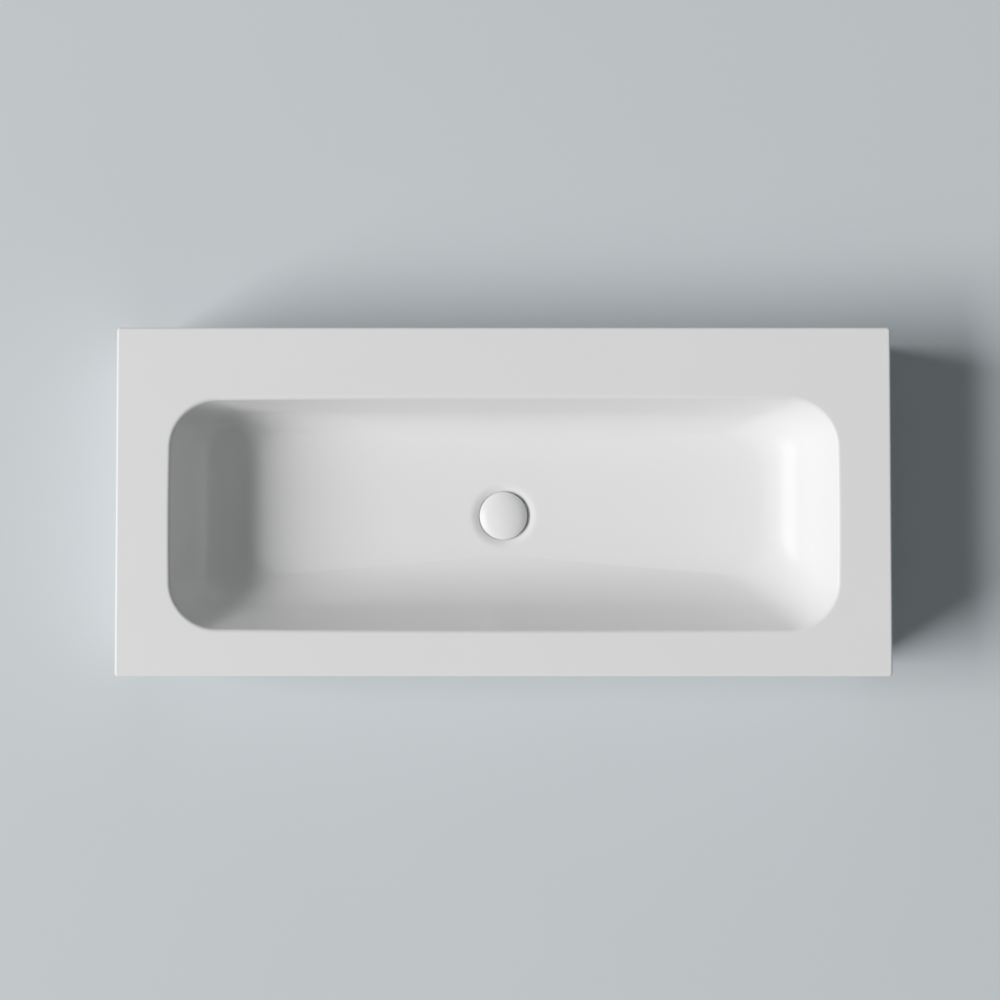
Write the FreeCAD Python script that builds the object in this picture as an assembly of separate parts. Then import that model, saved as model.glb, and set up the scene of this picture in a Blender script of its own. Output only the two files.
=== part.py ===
import FreeCAD, Part
import math
import os

os.makedirs("parts", exist_ok=True)
Vector = FreeCAD.Vector

# Countertop basin with a push-open waste. Millimetres, +Z up, +X to the right, +Y to the wall.
# The origin is the middle of the foot, on the counter.

# Basin casting
basin_length = 1000.0
basin_width = 450.0
basin_height = 160.0
basin_corner_radius = 4.5
top_edge_radius = 2.5
foot_edge_radius = 1.2
skirt_wall = 11.0
deck_thickness = 14.0
bowl_wall = 11.0
hollow_corner_radius = 14.0
web_thickness = 10.0
web_offset = 215.0
web_foot_gap = 14.0

# Bowl opening and the lean of its walls, in degrees from upright
side_deck = 69.3
front_deck = 58.0
rear_deck = 92.0
rim_radius = 6.0
rim_corner_radius = 66.0
level_corner_share = 0.95
long_side_bow_radius = 45000.0
short_side_bow_radius = 5000.0
bowl_depth = 104.0
floor_fall = 6.0
drain_flat_half_length = 70.0
end_run = 84.0
front_run = 102.0
rear_run = 60.0
end_lean = 20.0
front_lean = 25.0
rear_lean = 10.0
level_count = 28
level_growth = 1.1
level_curve_degree = 2

# Recess of the drain
recess_radius = 32.0
recess_depth = 10.0
recess_edge_radius = 0.8
recess_lip_radius = 24.0
recess_lip_angle = 37.0
drain_hole_radius = 23.0
seat_thickness = 13.0
boss_radius = 39.0

# Wall fixing holes in the rear skirt
fixing_spacing = 280.0
fixing_height = 104.0
fixing_hole_radius = 7.0
fixing_pad_radius = 21.0
fixing_pad_depth = 24.0

# Waste body, with a G 1 1/4 tail. The neck has the radius at which the tail's thread and the nut's meet.
tail_radius = 20.955
neck_radius = 20.2155
neck_below_nut = 1.0
tail_wall = 2.955
tail_length = 16.5
tail_chamfer = 1.2
flange_radius = 29.7
flange_thickness = 2.5
flange_bevel = 1.5
throat_bevel = 1.8
spider_height = 7.0
spider_hub_radius = 11.5
spider_arm_width = 4.0
spider_arm_count = 4

# Gaskets, washer and back nut under the basin
flange_gasket_thickness = 1.5
flange_gasket_radius = 28.8
lower_gasket_thickness = 4.0
lower_gasket_radius = 32.0
lower_gasket_taper = 3.0
slip_washer_thickness = 1.5
slip_washer_radius = 31.0
back_nut_height = 8.0
back_nut_flats = 52.0
back_nut_chamfer = 2.0

# Plug: ceramic cap, carrier, seal and stem
cap_radius = 32.25
cap_edge_height = 3.3
cap_crown_radius = 92.0
cap_crown_reach = 21.0
cap_shoulder_radius = 34.0
cap_top_edge_radius = 1.4
cap_foot_edge_radius = 0.8
carrier_radius = 28.5
carrier_thickness = 2.0
carrier_rib_height = 1.2
hub_radius = 11.0
hub_rise = 4.5
hub_roof = 1.2
hub_drop_radius = 7.5
hub_drop = 6.0
seal_thickness = 1.7
seal_inner_radius = 20.0
seal_outer_radius = 27.0
seal_gap = 0.3
stem_radius = 4.0
journal_radius = 2.8
lock_nut_height = 4.0
lock_nut_flats = 13.0
plug_lift = 9.0
over_press = 2.0

# Latch cartridge
gland_head_height = 3.0
gland_head_flats = 15.0
gland_thread_length = 3.5
housing_radius = 8.5
housing_bore_radius = 6.8
housing_collar_height = 4.0
housing_collar_flats = 20.0
housing_collar_drop = 9.0
wiper_section_radius = 0.8
rotor_height = 6.0
rotor_body_radius = 4.9
rotor_tooth_slope = 1.4
rib_reach_radius = 5.2
rib_width = 3.2
rib_count = 4
spring_length = 8.0
spring_wire_radius = 0.45
spring_mean_radius = 4.2
spring_turns = 4.5
spring_wire_flats = 8
spring_stations_per_turn = 16
base_thickness = 3.0
base_slot_width = 1.2
base_slot_depth = 1.0

# Clearances, cuts and turns
shaft_clearance = 0.05
slide_clearance = 0.3
cut_overrun = 10.0
full_turn = 360.0

# Places that follow from the sizes above
half_length = basin_length / 2
half_width = basin_width / 2
rim_half_length = half_length - side_deck
rim_front = front_deck - half_width
rim_rear = half_width - rear_deck
drain_y = (rim_front + rim_rear) / 2
floor_half_length = rim_half_length - end_run
end_depth = bowl_depth - floor_fall
floor_sag = floor_fall / (1 - (drain_flat_half_length / floor_half_length) ** 2)
sag_depth = end_depth + floor_sag
floor_z = basin_height - bowl_depth
seat_z = floor_z - recess_depth
boss_z = seat_z - seat_thickness
tail_bore_radius = tail_radius - tail_wall
gasket_bore_radius = tail_radius + slide_clearance
flange_z = seat_z + flange_gasket_thickness
flange_top_z = flange_z + flange_thickness
lower_gasket_z = boss_z - lower_gasket_thickness
slip_washer_z = lower_gasket_z - slip_washer_thickness
back_nut_z = slip_washer_z - back_nut_height
tail_z = back_nut_z - tail_length
seal_z = flange_top_z + seal_gap
carrier_z = seal_z + seal_thickness
cap_z = carrier_z + carrier_thickness
cap_edge_z = cap_z + cap_edge_height
stem_top_z = cap_z + hub_rise - hub_roof
lock_nut_top_z = carrier_z - hub_drop
gland_top_z = lock_nut_top_z - lock_nut_height - over_press
housing_top_z = gland_top_z - gland_head_height
gland_z = housing_top_z - gland_thread_length
rotor_top_z = gland_z - plug_lift - slide_clearance
rotor_z = rotor_top_z - rotor_height
base_top_z = rotor_z - spring_length
housing_z = base_top_z - base_thickness
spider_top_z = housing_top_z - housing_collar_drop
spider_z = spider_top_z - spider_height


def disc(radius, bottom, top):
    return Part.makeCylinder(radius, top - bottom, Vector(0, 0, bottom))


def ring(inner_radius, outer_radius, bottom, top):
    hole = disc(inner_radius, bottom - cut_overrun, top + cut_overrun)
    return disc(outer_radius, bottom, top).cut(hole)


def turned(edges):
    # A solid of revolution about Z from a closed outline in the XZ plane.
    face = Part.Face(Part.Wire(edges))
    return face.revolve(Vector(0, 0, 0), Vector(0, 0, 1), full_turn)


def outline(points):
    corners = [Vector(x, 0, z) for x, z in points]
    pairs = zip(corners, corners[1:] + corners[:1])
    return [Part.LineSegment(a, b).toShape() for a, b in pairs]


def hexagon(flats, bottom, top):
    corner = flats / 2 / math.cos(math.pi / 6)
    points = [Vector(corner * math.cos(i * math.pi / 3), corner * math.sin(i * math.pi / 3), bottom)
              for i in range(7)]
    return Part.Face(Part.makePolygon(points)).extrude(Vector(0, 0, top - bottom))


def chamfered_hexagon(flats, chamfer, bottom, top):
    corner = flats / 2 / math.cos(math.pi / 6)
    rounding = turned(outline([(0, bottom), (corner - chamfer, bottom), (corner, bottom + chamfer / 2),
                               (corner, top - chamfer / 2), (corner - chamfer, top), (0, top)]))
    return hexagon(flats, bottom, top).common(rounding)


def wall_radius(run, full_depth, lean, toe):
    # The arc that joins a leaning wall to the floor, which it meets at the toe's slope.
    swing = math.cos(toe) - math.sin(lean)
    spread = math.cos(lean) - math.sin(toe) - swing * math.tan(lean)
    return (run - full_depth * math.tan(lean)) / spread


def wall_inset(depth, run, lean):
    # Distance from the rim to the front or rear wall at a depth.
    radius = wall_radius(run, sag_depth, lean, 0)
    if depth < sag_depth - radius * (1 - math.sin(lean)):
        return depth * math.tan(lean)
    rise = 1 - (sag_depth - depth) / radius
    return run - radius * math.sqrt(1 - rise * rise)


def depth_at_end(inset):
    # The end wall leans in, curves round and meets the floor, a long shallow curve down to the drain.
    lean = math.radians(end_lean)
    toe = math.atan(2 * floor_sag / floor_half_length)
    radius = wall_radius(end_run, end_depth, lean, toe)
    if inset > end_run:
        return sag_depth - floor_sag * ((rim_half_length - inset) / floor_half_length) ** 2
    swing = math.cos(toe) - math.sin(lean)
    if inset < (end_depth - radius * swing) * math.tan(lean):
        return inset / math.tan(lean)
    slope = math.asin((end_run - inset) / radius + math.sin(toe))
    return end_depth + radius * (math.cos(slope) - math.cos(toe))


def corner_arc(long_centre, long_radius, short_centre, short_radius, radius, side):
    # The circle inside two bowed sides and tangent to both. Returns its three arc points.
    long_reach = long_radius - radius
    short_reach = short_radius - radius
    gap = short_centre - long_centre
    along = (gap.Length ** 2 + long_reach ** 2 - short_reach ** 2) / (2 * gap.Length)
    across = math.sqrt(long_reach ** 2 - along ** 2)
    unit = Vector(gap).normalize()
    centre = long_centre + unit * along + Vector(-unit.y, unit.x, 0) * across * side
    long_way = (centre - long_centre).normalize()
    short_way = (centre - short_centre).normalize()
    middle_way = (long_way + short_way).normalize()
    return [centre + way * radius for way in (long_way, middle_way, short_way)]


def bowl_section(inset, growth, drop):
    # One level of the bowl: four bowed sides and four rounded corners, which a narrow level keeps smaller.
    depth = depth_at_end(inset)
    reach = rim_half_length - inset + growth
    front = rim_front + wall_inset(depth, front_run, math.radians(front_lean)) - growth
    rear = rim_rear - wall_inset(depth, rear_run, math.radians(rear_lean)) + growth
    narrow_half = min(reach, (rear - front) / 2) - growth
    radius = min(rim_corner_radius, narrow_half * level_corner_share) + growth
    long_radius = long_side_bow_radius + growth
    short_radius = short_side_bow_radius + growth
    middle = (front + rear) / 2
    short_centre = Vector(reach - short_radius, middle, 0)
    front_arc = corner_arc(Vector(0, front + long_radius, 0), long_radius,
                           short_centre, short_radius, radius, 1)
    rear_arc = corner_arc(Vector(0, rear - long_radius, 0), long_radius,
                          short_centre, short_radius, radius, -1)

    def mirrored(points):
        return [Vector(-p.x, p.y, 0) for p in reversed(points)]

    arcs = [
        [mirrored(front_arc)[2], Vector(0, front, 0), front_arc[0]],
        front_arc,
        [front_arc[2], Vector(reach, middle, 0), rear_arc[2]],
        rear_arc[::-1],
        [rear_arc[0], Vector(0, rear, 0), mirrored(rear_arc)[2]],
        mirrored(rear_arc)[::-1],
        [mirrored(rear_arc)[0], Vector(-reach, middle, 0), mirrored(front_arc)[0]],
        mirrored(front_arc),
    ]
    wire = Part.Wire([Part.Arc(*points).toShape() for points in arcs])
    wire.translate(Vector(0, 0, basin_height - depth - drop))
    return wire


def bowl_form(growth, drop):
    # The bowl as a solid: lofted through its levels, from above the rim to the flat round the drain.
    # The levels stand further apart towards the drain.
    full_inset = rim_half_length - drain_flat_half_length
    spread = level_growth ** level_count - 1
    insets = [full_inset * (level_growth ** number - 1) / spread for number in range(level_count + 1)]
    insets.insert(0, -cut_overrun * math.tan(math.radians(end_lean)))
    sections = [bowl_section(inset, growth, drop) for inset in insets]
    return Part.makeLoft(sections, True, False, False, level_curve_degree)


def edges_on_level(shape, level):
    return [edge for edge in shape.Edges
            if abs(edge.BoundBox.ZMin - level) + abs(edge.BoundBox.ZMax - level) < slide_clearance]


def basin_body():
    block = Part.makeBox(basin_length, basin_width, basin_height,
                         Vector(-half_length, -half_width, 0))
    upright = [e for e in block.Edges if e.BoundBox.ZLength > slide_clearance]
    block = block.makeFillet(basin_corner_radius, upright)
    block = block.makeFillet(top_edge_radius, edges_on_level(block, basin_height))
    block = block.makeFillet(foot_edge_radius, edges_on_level(block, 0))
    body = block.cut(bowl_form(0, 0))
    rim = [e for e in edges_on_level(body, basin_height)
           if e.BoundBox.XMax < rim_half_length + rim_radius
           and e.BoundBox.XMin > -rim_half_length - rim_radius]
    body = body.makeFillet(rim_radius, rim)
    body = body.cut(underside_hollow())
    body = body.cut(drain_recess())
    for side in (-1, 1):
        hole = fixing_cylinder(side, fixing_hole_radius, -cut_overrun, fixing_pad_depth + cut_overrun)
        body = body.cut(hole)
    return body


def underside_hollow():
    # The open space under the deck and bowl, less the webs, the drain boss and the fixing pads.
    hollow = Part.makeBox(basin_length - 2 * skirt_wall, basin_width - 2 * skirt_wall,
                          basin_height - deck_thickness + cut_overrun,
                          Vector(skirt_wall - half_length, skirt_wall - half_width, -cut_overrun))
    upright = [e for e in hollow.Edges if e.BoundBox.ZLength > slide_clearance]
    hollow = hollow.makeFillet(hollow_corner_radius, upright)
    hollow = hollow.cut(bowl_form(bowl_wall, bowl_wall))
    boss = disc(boss_radius, boss_z, floor_z)
    boss.translate(Vector(0, drain_y, 0))
    hollow = hollow.cut(boss)
    for side in (-1, 1):
        web = Part.makeBox(web_thickness, basin_width, basin_height,
                           Vector(side * web_offset - web_thickness / 2, -half_width, web_foot_gap))
        hollow = hollow.cut(web)
        hollow = hollow.cut(fixing_cylinder(side, fixing_pad_radius, 0, fixing_pad_depth))
    return hollow


def fixing_cylinder(side, radius, start, end):
    # Reaches inwards from the rear face, between two distances from it.
    base = Vector(side * fixing_spacing / 2, half_width - start, fixing_height)
    return Part.makeCylinder(radius, end - start, base, Vector(0, -1, 0))


def drain_recess():
    # A soft lip dips under the plug's cap into a straight recess, with the hole for the waste in its floor.
    lip_angle = math.radians(recess_lip_angle)
    edge_x = recess_radius + recess_edge_radius * (1 - math.sin(lip_angle))
    lip_x = edge_x + recess_lip_radius * math.sin(lip_angle)
    lip_drop = recess_lip_radius * (1 - math.cos(lip_angle))
    edge_drop = lip_drop + recess_edge_radius * math.cos(lip_angle)
    lip_half = lip_angle / 2
    edge_middle = (lip_angle + math.pi / 2) / 2
    edge_centre = recess_radius + recess_edge_radius
    lip = Part.Arc(Vector(lip_x, 0, 0),
                   Vector(lip_x - recess_lip_radius * math.sin(lip_half), 0,
                          recess_lip_radius * (math.cos(lip_half) - 1)),
                   Vector(edge_x, 0, -lip_drop))
    edge = Part.Arc(Vector(edge_x, 0, -lip_drop),
                    Vector(edge_centre - recess_edge_radius * math.sin(edge_middle), 0,
                           recess_edge_radius * math.cos(edge_middle) - edge_drop),
                    Vector(recess_radius, 0, -edge_drop))
    corners = [(recess_radius, -edge_drop), (recess_radius, -recess_depth), (0, -recess_depth),
               (0, cut_overrun), (lip_x, cut_overrun), (lip_x, 0)]
    sides = outline(corners)[:-1]
    recess = turned([lip.toShape(), edge.toShape()] + sides)
    recess.translate(Vector(0, 0, floor_z))
    recess = recess.fuse(disc(drain_hole_radius, boss_z - cut_overrun, floor_z))
    recess.translate(Vector(0, drain_y, 0))
    return recess


def waste_body():
    # Flange, tail and a spider whose hub holds the latch cartridge.
    profile = [(tail_bore_radius, tail_z), (tail_radius - tail_chamfer, tail_z),
               (tail_radius, tail_z + tail_chamfer), (tail_radius, back_nut_z - neck_below_nut),
               (neck_radius, back_nut_z - neck_below_nut), (neck_radius, flange_z),
               (flange_radius, flange_z), (flange_radius, flange_top_z - flange_bevel),
               (flange_radius - flange_bevel, flange_top_z),
               (tail_bore_radius + throat_bevel, flange_top_z),
               (tail_bore_radius, flange_top_z - throat_bevel)]
    body = turned(outline(profile))
    spider = ring(housing_radius, spider_hub_radius, spider_z, spider_top_z)
    arm_start = (housing_radius + spider_hub_radius) / 2
    arm_end = (tail_bore_radius + neck_radius) / 2
    for number in range(spider_arm_count):
        arm = Part.makeBox(arm_end - arm_start, spider_arm_width, spider_height,
                           Vector(arm_start, -spider_arm_width / 2, spider_z))
        arm.rotate(Vector(0, 0, 0), Vector(0, 0, 1), number * full_turn / spider_arm_count)
        spider = spider.fuse(arm)
    return body.fuse(spider).removeSplitter()


def flange_gasket():
    return ring(gasket_bore_radius, flange_gasket_radius, seat_z, flange_z)


def lower_gasket():
    # Its upper corner is tapered.
    profile = [(gasket_bore_radius, lower_gasket_z), (lower_gasket_radius, lower_gasket_z),
               (lower_gasket_radius, boss_z - lower_gasket_taper / 2),
               (lower_gasket_radius - lower_gasket_taper, boss_z), (gasket_bore_radius, boss_z)]
    return turned(outline(profile))


def slip_washer():
    return ring(gasket_bore_radius, slip_washer_radius, slip_washer_z, lower_gasket_z)


def back_nut():
    nut = chamfered_hexagon(back_nut_flats, back_nut_chamfer, back_nut_z, slip_washer_z)
    return nut.cut(disc(neck_radius, back_nut_z - cut_overrun, slip_washer_z + cut_overrun))


def plug_cap():
    # A domed ceramic cover with a rounder shoulder, hollowed underneath for the carrier's hub.
    bend = math.asin(cap_crown_reach / cap_crown_radius)
    shoulder_x = cap_crown_reach - cap_shoulder_radius * math.sin(bend)
    brink = math.asin((cap_radius - shoulder_x) / cap_shoulder_radius)
    shoulder_z = cap_edge_z - cap_shoulder_radius * math.cos(brink)
    crown_z = shoulder_z - (cap_crown_radius - cap_shoulder_radius) * math.cos(bend)

    def crown_point(angle):
        return Vector(cap_crown_radius * math.sin(angle), 0, crown_z + cap_crown_radius * math.cos(angle))

    def shoulder_point(angle):
        return Vector(shoulder_x + cap_shoulder_radius * math.sin(angle), 0,
                      shoulder_z + cap_shoulder_radius * math.cos(angle))

    crown = Part.Arc(crown_point(0), crown_point(bend / 2), crown_point(bend))
    shoulder = Part.Arc(shoulder_point(bend), shoulder_point((bend + brink) / 2), shoulder_point(brink))
    corners = [(cap_radius, cap_edge_z), (cap_radius, cap_z), (hub_radius, cap_z),
               (hub_radius, cap_z + hub_rise), (0, cap_z + hub_rise), (0, crown_z + cap_crown_radius)]
    sides = outline(corners)[:-1]
    cap = turned([crown.toShape(), shoulder.toShape()] + sides)
    cap = cap.makeFillet(cap_top_edge_radius, rim_circles(cap, cap_radius, cap_edge_z))
    return cap.makeFillet(cap_foot_edge_radius, rim_circles(cap, cap_radius, cap_z))


def rim_circles(shape, radius, level):
    return [e for e in edges_on_level(shape, level) if abs(e.BoundBox.XMax - radius) < slide_clearance]


def plug_carrier():
    # A moulded disc glued under the cap, with a socket for the stem and a rib that centres the seal.
    carrier = disc(carrier_radius, carrier_z, cap_z)
    carrier = carrier.fuse(disc(hub_radius, cap_z, cap_z + hub_rise))
    carrier = carrier.fuse(disc(hub_drop_radius, carrier_z - hub_drop, carrier_z))
    carrier = carrier.fuse(disc(seal_inner_radius, carrier_z - carrier_rib_height, carrier_z))
    socket = disc(stem_radius, carrier_z - hub_drop - cut_overrun, stem_top_z)
    return carrier.cut(socket).removeSplitter()


def plug_seal():
    # A flat ring with a lip that thins towards its outer edge.
    profile = [(seal_inner_radius, seal_z), (seal_outer_radius, seal_z + seal_thickness / 2),
               (seal_outer_radius, carrier_z), (seal_inner_radius, carrier_z)]
    return turned(outline(profile))


def plug_stem():
    stem = disc(stem_radius, rotor_top_z, stem_top_z)
    return stem.fuse(disc(journal_radius, rotor_z, rotor_top_z)).removeSplitter()


def stem_lock_nut():
    bottom = lock_nut_top_z - lock_nut_height
    nut = hexagon(lock_nut_flats, bottom, lock_nut_top_z)
    return nut.cut(disc(stem_radius, bottom - cut_overrun, lock_nut_top_z + cut_overrun))


def latch_tooth(reach_radius, bottom, top, bottom_slope, top_slope):
    # A tooth along +X, whose lower and upper ends can be slanted to turn the rotor.
    half = rib_width / 2
    corners = [Vector(0, -half, bottom), Vector(0, half, bottom + bottom_slope),
               Vector(0, half, top), Vector(0, -half, top - top_slope), Vector(0, -half, bottom)]
    return Part.Face(Part.makePolygon(corners)).extrude(Vector(reach_radius, 0, 0))


def latch_rotor():
    # Fins ride in the grooves between the housing's ribs, and their slanted tops index the rotor.
    rotor = ring(journal_radius + shaft_clearance, rotor_body_radius, rotor_z, rotor_top_z)
    shell = ring((journal_radius + rotor_body_radius) / 2, housing_bore_radius - slide_clearance,
                 rotor_z, rotor_top_z)
    for number in range(rib_count):
        fin = latch_tooth(housing_bore_radius, rotor_z, rotor_top_z, 0, rotor_tooth_slope).common(shell)
        fin.rotate(Vector(0, 0, 0), Vector(0, 0, 1), number * full_turn / rib_count)
        rotor = rotor.fuse(fin)
    return rotor.removeSplitter()


def cartridge_housing():
    # A tube with a hexagonal collar on the spider's hub and slanted ribs inside for the latch.
    housing = disc(housing_radius, housing_z, housing_top_z)
    collar = hexagon(housing_collar_flats, spider_top_z, spider_top_z + housing_collar_height)
    housing = housing.fuse(collar)
    housing = housing.cut(disc(housing_bore_radius, housing_z - cut_overrun, housing_top_z + cut_overrun))
    rib_shell = ring(rib_reach_radius, (housing_bore_radius + housing_radius) / 2, rotor_top_z, gland_z)
    for number in range(rib_count):
        rib = latch_tooth(housing_radius, rotor_top_z, gland_z, rotor_tooth_slope, 0).common(rib_shell)
        rib.rotate(Vector(0, 0, 0), Vector(0, 0, 1), (number + 1 / 2) * full_turn / rib_count)
        housing = housing.fuse(rib)
    return housing.removeSplitter()


def wiper_level():
    return gland_top_z - gland_head_height / 2


def wiper_ring_radius():
    return stem_radius + shaft_clearance + wiper_section_radius


def cartridge_gland():
    # Screws into the housing and guides the stem, with a groove for the wiper.
    gland = hexagon(gland_head_flats, housing_top_z, gland_top_z)
    gland = gland.fuse(disc(housing_bore_radius, gland_z, housing_top_z))
    gland = gland.cut(disc(stem_radius + shaft_clearance, gland_z - cut_overrun, gland_top_z + cut_overrun))
    groove = ring(stem_radius, wiper_ring_radius() + wiper_section_radius,
                  wiper_level() - wiper_section_radius, wiper_level() + wiper_section_radius)
    return gland.cut(groove).removeSplitter()


def stem_wiper_ring():
    return Part.makeTorus(wiper_ring_radius(), wiper_section_radius, Vector(0, 0, wiper_level()))


def cartridge_base():
    # Closes the housing and carries the spring, with a screwdriver slot underneath.
    base = disc(housing_bore_radius, housing_z, base_top_z)
    slot = Part.makeBox(2 * housing_radius, base_slot_width, base_slot_depth + cut_overrun,
                        Vector(-housing_radius, -base_slot_width / 2, housing_z - cut_overrun))
    return base.cut(slot)


def cartridge_spring():
    # A helix of faceted wire between the base and the rotor.
    rise = spring_length - 2 * spring_wire_radius
    stations = round(spring_turns * spring_stations_per_turn)
    sections = [spring_section(number / stations, rise) for number in range(stations + 1)]
    return Part.makeLoft(sections, True, True)


def spring_section(way_share, rise):
    # The wire's outline at a share of the way along the helix, with one of its flats down.
    turn = 2 * math.pi * spring_turns * way_share
    outwards = Vector(math.cos(turn), math.sin(turn), 0)
    centre = outwards * spring_mean_radius + Vector(0, 0, base_top_z + spring_wire_radius + rise * way_share)
    step = 2 * math.pi / spring_wire_flats
    corner = spring_wire_radius / math.cos(step / 2)
    points = [centre + outwards * corner * math.cos((number + 1 / 2) * step)
              + Vector(0, 0, corner * math.sin((number + 1 / 2) * step))
              for number in range(spring_wire_flats)]
    return Part.makePolygon(points + points[:1])


def save(name, shape):
    shape.exportStep("parts/" + name + ".step")


save("basin_body", basin_body())
for piece in (waste_body, flange_gasket, lower_gasket, slip_washer, back_nut, plug_cap, plug_carrier,
              plug_seal, plug_stem, stem_lock_nut, latch_rotor, cartridge_housing, cartridge_gland,
              stem_wiper_ring, cartridge_base, cartridge_spring):
    solid = piece()
    solid.translate(Vector(0, drain_y, 0))
    save(piece.__name__, solid)
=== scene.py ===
import bpy
import bmesh
import math
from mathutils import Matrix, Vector


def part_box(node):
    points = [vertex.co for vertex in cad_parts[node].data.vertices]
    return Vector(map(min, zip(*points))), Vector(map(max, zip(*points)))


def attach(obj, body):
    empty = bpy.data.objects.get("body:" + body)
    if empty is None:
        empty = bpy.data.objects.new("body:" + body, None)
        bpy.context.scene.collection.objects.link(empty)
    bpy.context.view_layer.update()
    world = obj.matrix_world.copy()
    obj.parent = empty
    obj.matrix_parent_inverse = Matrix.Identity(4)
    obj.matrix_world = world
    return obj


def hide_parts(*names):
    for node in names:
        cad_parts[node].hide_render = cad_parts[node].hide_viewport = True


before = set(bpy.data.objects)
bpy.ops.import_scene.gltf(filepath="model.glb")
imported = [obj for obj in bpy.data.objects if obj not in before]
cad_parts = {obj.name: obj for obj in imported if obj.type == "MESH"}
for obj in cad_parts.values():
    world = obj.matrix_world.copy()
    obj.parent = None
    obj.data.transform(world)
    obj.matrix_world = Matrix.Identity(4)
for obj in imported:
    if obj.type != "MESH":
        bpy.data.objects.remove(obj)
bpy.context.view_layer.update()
quarterTurn = math.pi / 2
print("frame loaded,", len(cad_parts), "nodes")


class Wire:
    # an output socket that takes part in sums
    def __init__(self, board, socket):
        self.board = board
        self.socket = socket

    def __add__(self, other):
        return self.board.maths("ADD", self, other)

    def __sub__(self, other):
        return self.board.maths("SUBTRACT", self, other)

    def __rsub__(self, other):
        return self.board.maths("SUBTRACT", other, self)

    def __mul__(self, other):
        return self.board.maths("MULTIPLY", self, other)

    def __truediv__(self, other):
        return self.board.maths("DIVIDE", self, other)

    def __rtruediv__(self, other):
        return self.board.maths("DIVIDE", other, self)

    def __pow__(self, other):
        return self.board.maths("POWER", self, other)

    def __rpow__(self, other):
        return self.board.maths("POWER", other, self)

    def __neg__(self):
        return self.board.maths("MULTIPLY", self, -1)

    def __lt__(self, other):
        return self.board.maths("LESS_THAN", self, other)

    def __gt__(self, other):
        return self.board.maths("GREATER_THAN", self, other)

    __radd__ = __add__
    __rmul__ = __mul__

    def out(self, name):
        # another output of the same node
        return Wire(self.board, self.socket.node.outputs[name])


class Board:
    # a node tree, for geometry, a finish or the sky
    def __init__(self, tree):
        self.tree = tree

    def node(self, kind, settings={}, sockets={}, out=0):
        made = self.tree.nodes.new(kind)
        for name, value in settings.items():
            if name == "stops":
                self.setStops(made.color_ramp, value)
            else:
                setattr(made, name, value)
        for key, value in sockets.items():
            for one in value if isinstance(value, list) else [value]:
                self.plug(made.inputs[key], one)
        return Wire(self, made.outputs[out]) if len(made.outputs) else None

    def plug(self, socket, value):
        if isinstance(value, Wire):
            self.tree.links.new(value.socket, socket)
        else:
            socket.default_value = value

    def setStops(self, ramp, stops):
        for element, (place, tone) in zip(ramp.elements, stops):
            element.position = place
            element.color = (*tone, 1)

    def maths(self, operation, *values, clamp=False):
        settings = {"operation": operation, "use_clamp": clamp}
        return self.node("ShaderNodeMath", settings, dict(enumerate(values)))

    def sine(self, angle):
        return self.maths("SINE", angle)

    def cosine(self, angle):
        return self.maths("COSINE", angle)

    def tangent(self, angle):
        return self.maths("TANGENT", angle)

    def root(self, value):
        return self.maths("SQRT", value)

    def vector(self, x, y, z):
        return self.node("ShaderNodeCombineXYZ", {}, {0: x, 1: y, 2: z})

    def parts(self, vector):
        first = self.node("ShaderNodeSeparateXYZ", {}, {0: vector})
        return [first.out(name) for name in "XYZ"]

    def mixed(self, share, first, second):
        # between two points in a geometry tree, or two colours in a material, each with sockets of its own
        if self.tree.type == "SHADER":
            return self.node("ShaderNodeMix", {"data_type": "RGBA"}, {0: share, 6: first, 7: second}, 2)
        return self.node("ShaderNodeMix", {"data_type": "VECTOR"}, {0: share, 4: first, 5: second}, 1)


def geometryTree(name, sizes):
    # a tree with a number input for each size
    tree = bpy.data.node_groups.new(name, "GeometryNodeTree")
    for size in sizes:
        tree.interface.new_socket(size, in_out="INPUT", socket_type="NodeSocketFloat")
    tree.interface.new_socket("Geometry", in_out="OUTPUT", socket_type="NodeSocketGeometry")
    board = Board(tree)
    entry = board.node("NodeGroupInput")
    return board, {size: entry.out(size) for size in sizes}


def growPiece(name, board, geometry, sizes, material):
    # ends the tree, runs it once and keeps the result as a plain mesh
    solid = board.node("GeometryNodeRealizeInstances", {}, {0: geometry})
    solid = board.node("GeometryNodeSetMaterial", {}, {"Geometry": solid, "Material": material})
    board.node("NodeGroupOutput", {}, {0: solid})
    piece = bpy.data.objects.new(name, bpy.data.meshes.new(name))
    bpy.context.scene.collection.objects.link(piece)
    modifier = piece.modifiers.new(name, "NODES")
    modifier.node_group = board.tree
    for item in board.tree.interface.items_tree:
        if item.in_out == "INPUT":
            modifier[item.identifier] = sizes[item.name]
    evaluated = piece.evaluated_get(bpy.context.evaluated_depsgraph_get())
    mesh = bpy.data.meshes.new_from_object(evaluated)
    mesh.materials.clear()  # the tree leaves an empty slot in front of the finish
    mesh.materials.append(material)
    piece.modifiers.clear()
    piece.data = mesh
    mesh.name = name
    return piece


def settleMesh(piece, sharpDegrees):
    # faces outwards, smooth apart from the real edges
    shell = bmesh.new()
    shell.from_mesh(piece.data)
    bmesh.ops.recalc_face_normals(shell, faces=shell.faces)
    shell.to_mesh(piece.data)
    shell.free()
    piece.data.shade_smooth()
    piece.data.set_sharp_from_angle(angle=math.radians(sharpDegrees))
    print(piece.name, len(piece.data.polygons), "faces")


def newFinish(name):
    material = bpy.data.materials.new(name)
    material.use_nodes = True
    material.node_tree.nodes.clear()
    return material, Board(material.node_tree)


def closeFinish(board, sockets):
    surface = board.node("ShaderNodeBsdfPrincipled", {}, sockets)
    board.node("ShaderNodeOutputMaterial", {}, {"Surface": surface})


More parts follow.
